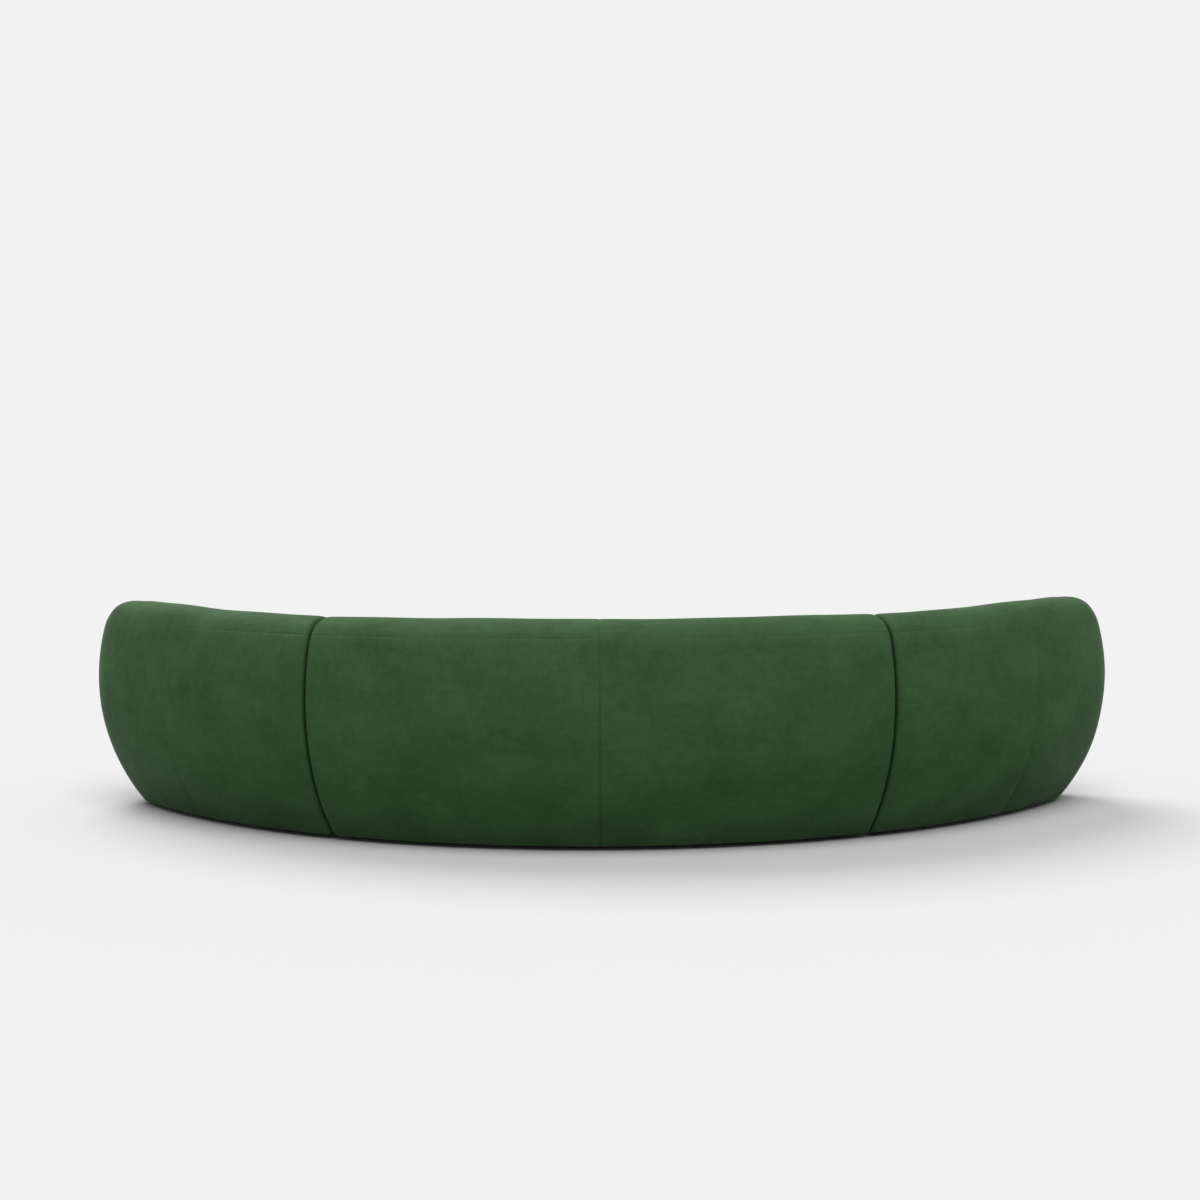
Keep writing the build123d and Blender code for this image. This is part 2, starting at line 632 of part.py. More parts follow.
def mirrored_place(place):
    """The mirror place of a fastener on the other side of the sofa. Fasteners are round."""
    plane = Plane(place)
    origin, axis = plane.origin, plane.z_dir
    return Plane((-origin.X, origin.Y, origin.Z), z_dir=(-axis.X, axis.Y, axis.Z)).location


def end_module():
    """The right-hand end module: one seat and the end corner, with hooks on its side."""
    side = MODULE_GAP / 2 + COVER
    seat_stop = SEAT_END - COVER
    joint_rib = on_arc(JOINT_ANGLE, side + BOARD / 2)
    inner_ribs = [on_arc(angle) for angle in END_RIBS]
    seat_ribs = [joint_rib] + inner_ribs + [on_arc(END_ANGLE, seat_stop - BOARD / 2)]
    back_ribs = [joint_rib] + inner_ribs + [on_arc(END_ANGLE, -BOARD)]
    reach = BOARD + FIT + BLOCK / 2
    corners = [(JOINT_ANGLE, side + reach), (END_ANGLE, seat_stop - reach)]
    blocks = [on_arc(*corner) * block(rear) for corner in corners for rear in (False, True)]
    straps = spread(JOINT_ANGLE + STRAP_MARGIN, END_ANGLE - STRAP_MARGIN, STRAP_COUNT_END)
    notch = around(inner_rail_section(FIT), JOINT_ANGLE, END_ANGLE)
    nodes = {
        "back_cover": [cover_shell(back_section, BACK_UNDERSIDE, corner_sweep)],
        "seat_cover": [cover_shell(seat_section, SEAT_UNDERSIDE, seat_sweep)],
        "dust_covers": [dust_sheet(BACK_UNDERSIDE, corner_sweep), dust_sheet(SEAT_UNDERSIDE, seat_sweep)],
        "outer_foam": [corner_sweep(outer_foam_section(), COVER + FIT)],
        "inner_foam": [corner_sweep(inner_foam_section(), COVER + FIT)],
        "seat_foam": [seat_sweep(seat_foam_section(), COVER + FIT)],
        "webbing": [on_arc(angle) * strap() for angle in straps],
        "front_rail": [seat_sweep(front_rail_section(), COVER)],
        "rear_rail": [seat_sweep(rear_rail_section(), COVER)],
        "seat_ribs": [place * seat_rib() for place in seat_ribs],
        "glide_blocks": [place * block_solid() for place in blocks],
        "back_ribs": [place * back_rib() - notch for place in back_ribs] + [end_rib()],
        "base_rail": [corner_sweep(base_rail_section(), COVER)],
        "inner_rail": [inner_rail_sweep(inner_rail_section(0), COVER)],
        "top_rail": [corner_sweep(top_rail_section(), COVER)],
        "end_facing": [end_facing()],
    }
    hooks = at_hooks()
    nodes["hook_plates"] = [place * hook_plate() for place in hooks]
    screws = [place * spot for place in hooks for spot in hook_screws()]
    base = [on_arc(angle) * Pos(BASE_GLIDE, 0, 0) for angle in GLIDES_END]
    fasten(nodes, floor_places(blocks) + base, BOLTS_END, screws)
    return nodes


def write(name, shapes, shift):
    solids = [shift * solid for shape in shapes for solid in shape.solids()]
    node = solids[0] if len(solids) == 1 else Compound(solids)
    export_step(node, f"parts/{name}.step")


os.makedirs("parts", exist_ok=True)
middle = middle_module()
right = end_module()
front = min(shape.bounding_box().min.Y for shape in right["seat_cover"] + right["end_facing"])
shift = Pos(0, -(BACK_RADIUS + front) / 2, 0)
for name, shapes in middle.items():
    write(f"middle_{name}", shapes, shift)
for name, shapes in right.items():
    write(f"right_{name}", shapes, shift)
    write(f"left_{name}", [mirror(shape, Plane.YZ) for shape in shapes], shift)
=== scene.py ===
# A curved sectional sofa in dark green velvet: a two-seat middle module and two end modules, whose
# backs wrap round the outer corners, on one plan arc. Lengths are in metres, in the frame's axes.
import math
from collections import namedtuple

import bmesh
import bpy
import numpy as np
from mathutils import Matrix, Vector


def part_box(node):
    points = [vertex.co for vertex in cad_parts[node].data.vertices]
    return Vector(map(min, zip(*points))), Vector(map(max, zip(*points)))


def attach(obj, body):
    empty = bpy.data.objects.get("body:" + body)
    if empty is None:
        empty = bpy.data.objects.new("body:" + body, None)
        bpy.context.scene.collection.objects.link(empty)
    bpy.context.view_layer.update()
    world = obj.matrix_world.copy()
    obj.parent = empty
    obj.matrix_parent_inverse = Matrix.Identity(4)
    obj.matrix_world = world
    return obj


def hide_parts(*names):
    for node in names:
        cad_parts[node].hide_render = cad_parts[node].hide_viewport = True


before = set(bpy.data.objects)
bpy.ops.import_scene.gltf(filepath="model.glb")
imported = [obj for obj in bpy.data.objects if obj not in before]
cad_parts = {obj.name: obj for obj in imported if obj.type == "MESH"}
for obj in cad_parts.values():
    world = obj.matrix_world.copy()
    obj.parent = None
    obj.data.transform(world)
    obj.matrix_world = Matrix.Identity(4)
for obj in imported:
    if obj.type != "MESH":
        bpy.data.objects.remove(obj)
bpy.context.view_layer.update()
MODULES = ("middle", "left", "right")


# Timber frame: curved rails and flat ribs of raw birch plywood, cut to shape, glued and stapled.
# It carries each module, and the foam and the covers hide it.
class Channel:
    """A value on its way through a material's nodes. Operators on it add Math nodes."""

    def __init__(self, tree, socket=None):
        self.tree = tree
        self.socket = socket

    def node(self, kind, settings=None, sockets=None, output=0):
        """Adds a node of any type: its settings first, then values or links for its sockets."""
        made = self.tree.nodes.new(kind)
        for name, value in (settings or {}).items():
            setattr(made, name, value)
        for name, value in (sockets or {}).items():
            if isinstance(value, Channel):
                self.tree.links.new(value.socket, made.inputs[name])
            else:
                made.inputs[name].default_value = value
        return Channel(self.tree, made.outputs[output] if made.outputs else None)

    def maths(self, operation, first, second):
        return self.node("ShaderNodeMath", {"operation": operation}, {0: first, 1: second})

    def __add__(self, other):
        return self.maths("ADD", self, other)

    def __radd__(self, other):
        return self.maths("ADD", other, self)

    def __sub__(self, other):
        return self.maths("SUBTRACT", self, other)

    def __rsub__(self, other):
        return self.maths("SUBTRACT", other, self)

    def __mul__(self, other):
        return self.maths("MULTIPLY", self, other)

    def __rmul__(self, other):
        return self.maths("MULTIPLY", other, self)


def begin(name):
    """A new material, its empty tree and a place on the sofa in metres."""
    material = bpy.data.materials.new(name)
    material.use_nodes = True
    material.node_tree.nodes.clear()
    tree = Channel(material.node_tree)
    return material, tree, tree.node("ShaderNodeTexCoord", output="Object")


def close(tree, sockets):
    """Ends a material in its shader."""
    shader = tree.node("ShaderNodeBsdfPrincipled", sockets=sockets)
    tree.node("ShaderNodeOutputMaterial", sockets={"Surface": shader})


def stretched(tree, place, scale):
    """The place, drawn out along the axes whose scale is small."""
    return tree.node("ShaderNodeMapping", sockets={"Vector": place, "Scale": scale})


def noise(tree, place, per_metre, detail=2.0, roughness=0.5):
    """Cloudy variation from 0 to 1 with so many patches to a metre."""
    sockets = {"Vector": place, "Scale": per_metre, "Detail": detail, "Roughness": roughness}
    return tree.node("ShaderNodeTexNoise", sockets=sockets)


def pits(tree, place, per_metre):
    """Small rounded cells, so many to a metre."""
    return tree.node("ShaderNodeTexVoronoi", sockets={"Vector": place, "Scale": per_metre})


def between(tree, share, first, second):
    """A colour between two colours."""
    return tree.node("ShaderNodeMix", {"data_type": "RGBA"}, {0: share, 6: first, 7: second}, 2)


def relief(tree, height, depth, strength=1.0):
    """Fine relief on a surface, so deep where its height goes from 0 to 1."""
    return tree.node("ShaderNodeBump", sockets={"Height": height, "Distance": depth, "Strength": strength})


def give(material, *kinds):
    """Gives a finish to the pieces of these kinds in every module that has them."""
    for module in MODULES:
        for kind in kinds:
            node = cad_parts.get(f"{module}_{kind}")
            for slot in node.material_slots if node else ():
                slot.material = material


PALE_BIRCH = (0.72, 0.54, 0.35, 1)
DARK_BIRCH = (0.50, 0.34, 0.19, 1)
plywood, tree, place = begin("birch_plywood")
figure = noise(tree, stretched(tree, place, (6.0, 6.0, 1.4)), per_metre=3.0, detail=5.0, roughness=0.6)
fibre = noise(tree, stretched(tree, place, (60.0, 60.0, 4.0)), per_metre=8.0, detail=3.0)
grain = 0.6 * figure + 0.4 * fibre
close(tree, {
    "Base Color": between(tree, grain, PALE_BIRCH, DARK_BIRCH),
    "Roughness": 0.55 + 0.25 * fibre,
    "Normal": relief(tree, grain, depth=0.0004),
})
give(plywood, "front_rail", "rear_rail", "seat_ribs", "glide_blocks")
give(plywood, "back_ribs", "base_rail", "inner_rail", "top_rail")


# Webbing: elastic straps, woven in black with a pale thread, stapled side by side from the front
# rail to the rear rail under the seat foam.
BLACK_WARP = (0.018, 0.018, 0.018, 1)
PALE_THREAD = (0.085, 0.08, 0.07, 1)


def threads(tree, place, direction, scale):
    """Ridges of thread that lie side by side in one direction."""
    sockets = {"Vector": place, "Scale": scale}
    wave = tree.node("ShaderNodeTexWave", {"bands_direction": direction}, sockets)
    return tree.node("ShaderNodeSeparateColor", sockets={"Color": wave})


webbing, tree, place = begin("woven_webbing")
weave = 0.5 * threads(tree, place, "Y", 160.0) + 0.5 * threads(tree, place, "X", 110.0)
close(tree, {
    "Base Color": between(tree, weave, BLACK_WARP, PALE_THREAD),
    "Roughness": 0.95 - 0.2 * weave,
    "Normal": relief(tree, weave, depth=0.0006),
})
give(webbing, "webbing")


# Foam: cut blocks of cream polyurethane, glued to the timber under the covers. The skin shows the
# small open cells of the cut.
CREAM = (0.86, 0.79, 0.60, 1)
AGED_CREAM = (0.74, 0.65, 0.44, 1)
foam, tree, place = begin("cut_foam")
yellowing = noise(tree, place, per_metre=14.0, detail=4.0)
close(tree, {
    "Base Color": between(tree, yellowing, CREAM, AGED_CREAM),
    "Roughness": 0.8 + 0.2 * yellowing,
    "Normal": relief(tree, pits(tree, place, per_metre=420.0), depth=0.0008),
})
give(foam, "outer_foam", "inner_foam", "seat_foam")


# Back covers: velvet with a fibre lining, sewn from a top band and upright panels, pulled over the
# foam and stapled under the frame. On the end modules the cover goes on round the outer corner.
# It swells between its seams as cloth does when it is blown up.
Arc = namedtuple("Arc", "radius height bend first last")
HEM_EASE = 0.12


def ease(share):
    """A smooth step from 0 to 1."""
    share = np.clip(share, 0, 1)
    return share * share * (3 - 2 * share)


class Profile:
    """Side view of an upholstered form: named arcs in radius and height, with straight runs between."""

    STEPS = 180

    def __init__(self, start, arcs, stop):
        self.arcs = arcs
        points = [np.array([start])]
        facing = []
        for arc in arcs.values():
            turn = np.radians(np.linspace(arc.first, arc.last, self.STEPS + 1))
            facing.append(np.stack([np.cos(turn), np.sin(turn)], axis=1))
            points.append(np.array([arc.radius, arc.height]) + arc.bend * facing[-1])
        points.append(np.array([stop]))
        self.points = np.concatenate(points)
        self.facing = np.concatenate([facing[0][:1], *facing, facing[-1][-1:]])
        steps = np.linalg.norm(np.diff(self.points, axis=0), axis=1)
        self.run = np.concatenate([[0.0], np.cumsum(steps)])
        self.length = self.run[-1]
        names = list(arcs)
        self.first_arc, self.last_arc = names[0], names[-1]
        self.hems = (self.ends(self.first_arc)[0], self.ends(self.last_arc)[1])

    def at(self, run):
        """Points and outward directions at lengths along the profile."""
        point = np.stack([np.interp(run, self.run, column) for column in self.points.T], axis=1)
        facing = np.stack([np.interp(run, self.run, column) for column in self.facing.T], axis=1)
        return point, facing / np.linalg.norm(facing, axis=1, keepdims=True)

    def mark(self, name, turn):
        """Length along the profile to a direction, in degrees, on one of its arcs."""
        arc = self.arcs[name]
        before = 1 + list(self.arcs).index(name) * (self.STEPS + 1)
        return self.run[before + round(self.STEPS * (turn - arc.first) / (arc.last - arc.first))]

    def ends(self, name):
        """Lengths along the profile to the two ends of one of its arcs."""
        return self.mark(name, self.arcs[name].first), self.mark(name, self.arcs[name].last)

    def over(self, name, count):
        """Lengths along the profile, evenly spread over one of its arcs."""
        return np.linspace(*self.ends(name), count)

    def inward(self, run):
        """How points move when the form is drawn in at a rounded end. Hems stay level."""
        facing = self.at(run)[1]
        moves = facing.copy()
        for hem, sense in ((self.ends(self.first_arc)[1], 1), (self.ends(self.last_arc)[0], -1)):
            level = np.array([1 / self.at(np.array([hem]))[1][0, 0], 0.0])
            above = sense * (run - hem)[:, None]
            share = ease(above / HEM_EASE)
            moves = np.where(above < HEM_EASE, share * facing + (1 - share) * level, moves)
        return moves


BACK_RADIUS = 2.225
BELLY_HEIGHT = 0.460
FOOT_INSET = 0.150
ROLL_RADIUS = 0.106
BACK_LEAN = 14.0
LEAN_FOOT = 0.380
KNEE_ROUND = 0.040
HEM_ROUND = 0.008
HEM = 0.019
COVER = 0.004
cover_low, cover_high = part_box("middle_back_cover")
FLOOR_GAP = cover_low.z
ROLL_HEIGHT = cover_high.z - ROLL_RADIUS
ARC_CENTRE = np.array([0.0, cover_high.y - BACK_RADIUS])


def corner_on_arc(axis, height, bend, foot, side):
    """Centre radius of a hem's rounding between the underside and a bulging face."""
    return axis + side * math.sqrt((bend - HEM_ROUND) ** 2 - (foot + HEM_ROUND - height) ** 2)


def back_profile():
    """From the outer hem over the belly and the roll, and down the leaning inside to the inner hem."""
    bend = ((BELLY_HEIGHT - FLOOR_GAP) ** 2 + FOOT_INSET**2) / (2 * FOOT_INSET)
    axis = BACK_RADIUS - bend
    rise = ROLL_HEIGHT - BELLY_HEIGHT
    roll = axis + math.sqrt((bend - ROLL_RADIUS) ** 2 - rise**2)
    shoulder = math.degrees(math.asin(rise / (bend - ROLL_RADIUS)))
    lean = math.radians(BACK_LEAN)
    brow = roll - ROLL_RADIUS * math.cos(lean)
    inside = brow - (ROLL_HEIGHT + ROLL_RADIUS * math.sin(lean) - LEAN_FOOT) * math.tan(lean)
    knee_height = LEAN_FOOT - KNEE_ROUND * math.tan(lean / 2)
    heel = corner_on_arc(axis, BELLY_HEIGHT, bend, FLOOR_GAP, 1)
    heel_turn = math.degrees(math.atan2(FLOOR_GAP + HEM_ROUND - BELLY_HEIGHT, heel - axis))
    arcs = {
        "heel": Arc(heel, FLOOR_GAP + HEM_ROUND, HEM_ROUND, -90.0, heel_turn),
        "belly": Arc(axis, BELLY_HEIGHT, bend, heel_turn, shoulder),
        "roll": Arc(roll, ROLL_HEIGHT, ROLL_RADIUS, shoulder, 180 - BACK_LEAN),
        "knee": Arc(inside + KNEE_ROUND, knee_height, KNEE_ROUND, 180 - BACK_LEAN, 180.0),
        "inner_heel": Arc(inside + HEM_ROUND, FLOOR_GAP + HEM_ROUND, HEM_ROUND, 180.0, 270.0),
    }
    start = (BACK_RADIUS - FOOT_INSET - HEM, FLOOR_GAP)
    return Profile(start, arcs, (inside + HEM, FLOOR_GAP)), inside


back, BACK_INSIDE = back_profile()
JOINT_ANGLE = 25.0
CORNER_ANGLE = 52.5
CORNER_TURN = 60.0
END_SEAM_ANGLE = 41.5
INSIDE_CORNER = 0.0073
JOINT_TRAVEL = BACK_RADIUS * math.radians(JOINT_ANGLE)
CORNER_TRAVEL = BACK_RADIUS * math.radians(CORNER_ANGLE)
CORNER_AXIS = BACK_INSIDE - INSIDE_CORNER
CORNER_RADIUS = BACK_RADIUS - CORNER_AXIS
END_TRAVEL = CORNER_TRAVEL + CORNER_RADIUS * math.radians(CORNER_TURN)
HALF_GAP = 0.005


def plan(travel):
    """Where a profile stands so far along the back from its middle: foot, radius there, out and onward."""
    turn = min(travel, CORNER_TRAVEL) / BACK_RADIUS
    out = np.array([math.sin(turn), math.cos(turn)])
    onward = np.array([math.cos(turn), -math.sin(turn)])
    if travel <= CORNER_TRAVEL:
        return ARC_CENTRE, 0.0, out, onward
    bend = (travel - CORNER_TRAVEL) / CORNER_RADIUS
    turned = math.cos(bend) * out + math.sin(bend) * onward
    ahead = math.cos(bend) * onward - math.sin(bend) * out
    return ARC_CENTRE + CORNER_AXIS * out, CORNER_AXIS, turned, ahead


EDGE_ROUND = 0.012
EDGE_TURNS = (90, 74, 58, 42, 28, 14, 0)


def rounded_edge(travel, ahead, sense):
    """Rows of a cover round its edge, from its flat side: place along the plan, shift and drawing in."""
    rows = []
    for turn in np.radians(EDGE_TURNS):
        shift = ahead + sense * EDGE_ROUND * (1 - math.sin(turn))
        stand = (travel, shift) if travel <= CORNER_TRAVEL else (travel + shift, 0.0)
        rows.append((*stand, EDGE_ROUND * (1 - math.cos(turn))))
    return rows


MICRON_DECIMALS = 6
BESIDE_SEAM = np.array((0.0, 0.0012, 0.0026, 0.0045, 0.0075, 0.012, 0.018))
MESH_STEP = 0.011


def stations(start, stop, step, seams):
    """Places from start to stop about a step apart, drawn together at the seams."""
    start, stop = round(start, MICRON_DECIMALS), round(stop, MICRON_DECIMALS)
    tight = [line + sense * BESIDE_SEAM for line in seams for sense in (-1, 1)]
    marks = np.unique(np.round(np.concatenate([[start, stop], *tight]), MICRON_DECIMALS))
    marks = marks[(marks >= start) & (marks <= stop)]
    places = [np.linspace(a, b, max(math.ceil((b - a) / step), 1), endpoint=False)
              for a, b in zip(marks[:-1], marks[1:])]
    return np.concatenate([*places, [stop]])


def columns_of(profile, step, seams, *tight):
    """Lengths along a profile for a cover's mesh: one on each hem, and more of them in tight bends."""
    columns = stations(0.0, profile.length, step, seams)
    for hem in profile.hems:
        columns[np.argmin(np.abs(columns - hem))] = hem
    return np.unique(np.concatenate([columns, *tight]))


def rows_between(start, stop, uprights):
    """Rows of a cover between two ends, each given as a place and a shift along the plan."""
    first = rounded_edge(*start, 1)
    last = rounded_edge(*stop, -1)[::-1]
    body = stations(sum(first[-1][:2]), sum(last[0][:2]), MESH_STEP, uprights)[1:-1]
    return first + [(travel, 0.0, 0.0) for travel in body] + last


def places_of(rows):
    """Distance of each row along the plan."""
    return np.array([travel + ahead for travel, ahead, _ in rows])[:, None]


def sweep(profile, columns, rows, lift, hand):
    """Points of a cover: rows along the plan by columns along the profile, hems turned up inside."""
    point, facing = profile.at(columns)
    inward = profile.inward(columns)
    grid = np.empty((len(rows), len(columns) + 2, 3))
    for line, rise, (travel, ahead, inset) in zip(grid, lift, rows):
        foot, zero, out, onward = plan(travel)
        shape = point - inset * inward + rise[:, None] * facing
        line[1:-1, :2] = foot + (shape[:, :1] - zero) * out + ahead * onward
        line[1:-1, 2] = shape[:, 1]
    grid[:, 0] = grid[:, 1] + (0, 0, COVER)
    grid[:, -1] = grid[:, -2] + (0, 0, COVER)
    grid[..., 0] *= hand
    return grid


Crown = namedtuple("Crown", "depth foot margin", defaults=(0.0, 0.0))
SIDE_SHARES = np.linspace(0, 1, 12) ** 1.3
CROWN_CLIMB = 0.08


def flat_side(ring, shares):
    """Fills a cover's flat side: each point of its edge runs to the middle of the way across."""
    centre = (ring + ring[::-1]) / 2
    return np.stack([ring + share * (centre - ring) for share in shares])


def crowned(ring, onward, crown):
    """Fills a padded side, which swells by its crown's depth inside its margin and above its foot line."""
    side = flat_side(ring, SIDE_SHARES)
    foot = max(crown.foot, ring[..., 2].min())
    inside = np.clip((SIDE_SHARES - crown.margin) / (1 - crown.margin), 0, 1)
    swell = np.sqrt(1 - (1 - inside) ** 2)[:, None, None]
    swell = swell * np.clip((side[..., 2:] - foot) / CROWN_CLIMB, 0, 1) ** 0.5
    side[..., :2] += crown.depth * swell * onward
    return side


HEM_ROWS = (0.0, 0.006, 0.013, HEM)
HEM_SHARES = np.linspace(0, 1, 13)


def end_hem(edge, inner):
    """The hem under a flat side: across the underside, turned under by its width and up."""
    rim = edge[1] + HEM_SHARES[:, None] * (edge[-2] - edge[1])
    toward = (inner - edge)[[1, -2]].mean(axis=0)
    toward = np.array([toward[0], toward[1], 0.0]) / np.linalg.norm(toward[:2])
    rows = [rim + depth * toward for depth in HEM_ROWS]
    return np.stack([*rows, rows[-1] + (0, 0, COVER)])


SAME_POINT = 2e-5
NO_LENGTH = 1e-6


def mesh_of(name, grids, merge=True):
    """One smooth mesh from grids of points, merged where they share their edges."""
    points, faces, start = [], [], 0
    for grid in grids:
        high, wide = grid.shape[:2]
        index = start + np.arange(high * wide).reshape(high, wide)
        corners = (index[:-1, :-1], index[1:, :-1], index[1:, 1:], index[:-1, 1:])
        faces.append(np.stack(corners, axis=-1).reshape(-1, 4))
        points.append(grid.reshape(-1, 3))
        start += high * wide
    mesh = bpy.data.meshes.new(name)
    mesh.from_pydata(np.concatenate(points).tolist(), [], np.concatenate(faces).tolist())
    shape = bmesh.new()
    shape.from_mesh(mesh)
    if merge:
        bmesh.ops.remove_doubles(shape, verts=shape.verts, dist=SAME_POINT)
        bmesh.ops.dissolve_degenerate(shape, edges=shape.edges, dist=NO_LENGTH)
        bmesh.ops.recalc_face_normals(shape, faces=shape.faces)
    shape.to_mesh(mesh)
    shape.free()
    mesh.polygons.foreach_set("use_smooth", np.ones(len(mesh.polygons), bool))
    piece = bpy.data.objects.new(name, mesh)
    bpy.context.scene.collection.objects.link(piece)
    return piece


CLOTH_MESH = 0.026
CLOTH_FRAMES = 20
CLOTH_PRESSURE = 4.0
CLOTH_REACH = 0.006


def coarse_marks(lines):
    """Places for a coarse cloth that include the given lines, and which of them are those lines."""
    parts = [np.linspace(a, b, max(round((b - a) / CLOTH_MESH), 1), endpoint=False)
             for a, b in zip(lines[:-1], lines[1:])]
    marks = np.concatenate([*parts, lines[-1:]])
    return marks, np.isin(marks, lines)


def refined(places, marks, held, values):
    """Values at places between coarse marks: smooth, but creased at the held marks."""
    step = np.clip(np.searchsorted(marks, places, side="right") - 1, 0, len(marks) - 2)
    width = np.diff(marks)[:, None]
    climb = np.diff(values, axis=0)
    slope = np.gradient(values, marks, axis=0)
    first = np.where(held[:-1, None], 0, slope[:-1] * width - climb)[step]
    last = np.where(held[1:, None], 0, climb - slope[1:] * width)[step]
    share = np.clip((places - marks[step]) / width[step, 0], 0, 1)[:, None]
    curve = share * (1 - share) * ((1 - share) * first + share * last)
    return values[step] + share * climb[step] + curve


def blown_up(points, held):
    """Where a grid of cloth goes when it is blown up, sewn down at its held points.

    The faces of the grid look inwards, so the pressure on them is negative.
    """
    piece = mesh_of("cloth", [points], merge=False)
    sewn = piece.vertex_groups.new(name="sewn")
    sewn.add(np.flatnonzero(held).tolist(), 1.0, "ADD")
    settings = piece.modifiers.new("cloth", "CLOTH").settings
    settings.vertex_group_mass = "sewn"
    settings.use_pressure = True
    settings.uniform_pressure_force = -CLOTH_PRESSURE
    settings.effector_weights.gravity = 0.0
    scene = bpy.context.scene
    for number in range(1, CLOTH_FRAMES + 1):
        scene.frame_set(number)
    moved = piece.evaluated_get(bpy.context.evaluated_depsgraph_get()).to_mesh()
    after = np.empty(len(moved.vertices) * 3)
    moved.vertices.foreach_get("co", after)
    mesh = piece.data
    bpy.data.objects.remove(piece)
    bpy.data.meshes.remove(mesh)
    scene.frame_set(1)
    return after.reshape(points.shape)


def swelling(profile, columns, rows, lines, uprights, most, still=None):
    """How far a stuffed cover stands out: cloth sewn down at lines along it and at uprights up to a run.

    The foam under it caps each panel between two lines at its own most, and where that is 0 or the cover
    is still, nothing swells.
    """
    travel = places_of(rows)[:, 0]
    marks, held = coarse_marks(np.array(lines))
    ends, stitched = coarse_marks(np.array([travel[0], *(stand for stand, _ in uprights), travel[-1]]))
    coarse_rows = [(end, 0.0, 0.0) for end in ends]
    flat = np.zeros((len(ends), len(marks)))
    start = sweep(profile, marks, coarse_rows, flat, 1)[:, 1:-1]
    outward = sweep(profile, marks, coarse_rows, flat + 1, 1)[:, 1:-1] - start
    panel = np.clip(np.searchsorted(lines, marks, side="right") - 1, 0, len(most) - 1)
    cap = np.array(most)[panel]
    fixed = (flat > 0) | held | (cap == 0)
    if still:
        fixed |= still(ends[:, None], marks[None, :])
    fixed[[0, -1]] = True
    for stand, limit in uprights:
        fixed[np.argmin(np.abs(ends - stand)), marks < limit] = True
    swell = ((blown_up(start, fixed) - start) * outward).sum(axis=2)
    swell = cap * (1 - np.exp(-np.maximum(swell, 0.0) / CLOTH_REACH))
    swell = refined(travel, ends, stitched, swell)
    return refined(columns, marks, held, swell.T).T


SEAM_DEPTH = 0.0010
SEAM_GROOVE = 0.0024
SEAM_DIP = 0.02
SEAM_DIP_SHARE = 0.3
PUCKER_HEIGHT = 0.0009
PUCKER_WAVES = 4
PUCKER_PITCH = (180, 520)
PUCKER_PATCHES = (9, 17)
PUCKER_REACH = 0.016
PUCKER_START = 0.004
UNEVEN_HEIGHT = 0.00035
UNEVEN_WAVES = 14
UNEVEN_PITCH = 9.0
ANY_PHASE = (0, 6.3)


def seam(distance, depth=SEAM_DEPTH):
    """A plain seam pulls the cloth down into a fine groove with a shallow dip on both sides."""
    groove = np.exp(-((distance / SEAM_GROOVE) ** 2))
    return -depth * (groove + SEAM_DIP_SHARE * np.exp(-((distance / SEAM_DIP) ** 2)))


def puckers(distance, length, draw):
    """Small puckers across a seam, uneven along its length."""
    waves = [np.sin(length * draw.uniform(*PUCKER_PITCH) + draw.uniform(*ANY_PHASE))
             for _ in range(PUCKER_WAVES)]
    patches = 0.5 + 0.5 * np.sin(length * draw.uniform(*PUCKER_PATCHES) + draw.uniform(*ANY_PHASE))
    near = np.exp(-np.abs(distance) / PUCKER_REACH) * (1 - np.exp(-((distance / PUCKER_START) ** 2)))
    return PUCKER_HEIGHT * (sum(waves) / PUCKER_WAVES) * patches * near


def unevenness(travel, run, draw):
    """The slow swell of hand-filled upholstery."""
    total = 0.0
    for _ in range(UNEVEN_WAVES):
        across, up = draw.normal(0, UNEVEN_PITCH, 2)
        total = total + np.sin(across * travel + up * run + draw.uniform(*ANY_PHASE))
    return UNEVEN_HEIGHT * total


def fullness(distance, reach):
    """0 at a seam or an edge, rising to 1 where the padding is free."""
    return 1 - np.exp(-np.abs(distance) / reach)


DEEP_GREEN = (0.0296, 0.0680, 0.0251, 1)
BRUSHED_GREEN = (0.0480, 0.1055, 0.0433, 1)
PILE_SHEEN = (0.76, 1.0, 0.73, 1)
velvet, tree, place = begin("green_velvet")
brushed = noise(tree, stretched(tree, place, (1.0, 1.0, 1.6)), per_metre=4.5, detail=3.0, roughness=0.55)
mottle = noise(tree, place, per_metre=34.0, detail=4.0, roughness=0.6)
fleck = noise(tree, place, per_metre=210.0)
pile = noise(tree, place, per_metre=1500.0, detail=1.0)
upright_strokes = noise(tree, stretched(tree, place, (1.0, 1.0, 0.09)), per_metre=190.0)
level_strokes = noise(tree, stretched(tree, place, (0.07, 0.07, 1.0)), per_metre=150.0)
nap = 0.40 * brushed + 0.24 * mottle + 0.12 * fleck + 0.13 * upright_strokes + 0.11 * level_strokes
spread_nap = tree.node("ShaderNodeMapRange", sockets={"Value": nap, "From Min": 0.37, "From Max": 0.63})
close(tree, {
    "Base Color": between(tree, spread_nap, DEEP_GREEN, BRUSHED_GREEN),
    "Roughness": 0.70 - 0.2 * nap,
    "Specular IOR Level": 0.04,
    "Sheen Weight": 0.075,
    "Sheen Roughness": 0.26,
    "Sheen Tint": PILE_SHEEN,
    "Normal": relief(tree, 0.3 * pile + 0.5 * fleck + 2.4 * mottle, depth=0.0009, strength=0.8),
})


def dress(piece, module, kind):
    """Gives a soft piece its velvet, hangs it on the body it rides on, and hides the part it stands in
    for.
    """
    piece.data.materials.append(velvet)
    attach(piece, module)
    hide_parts(f"{module}_{kind}")


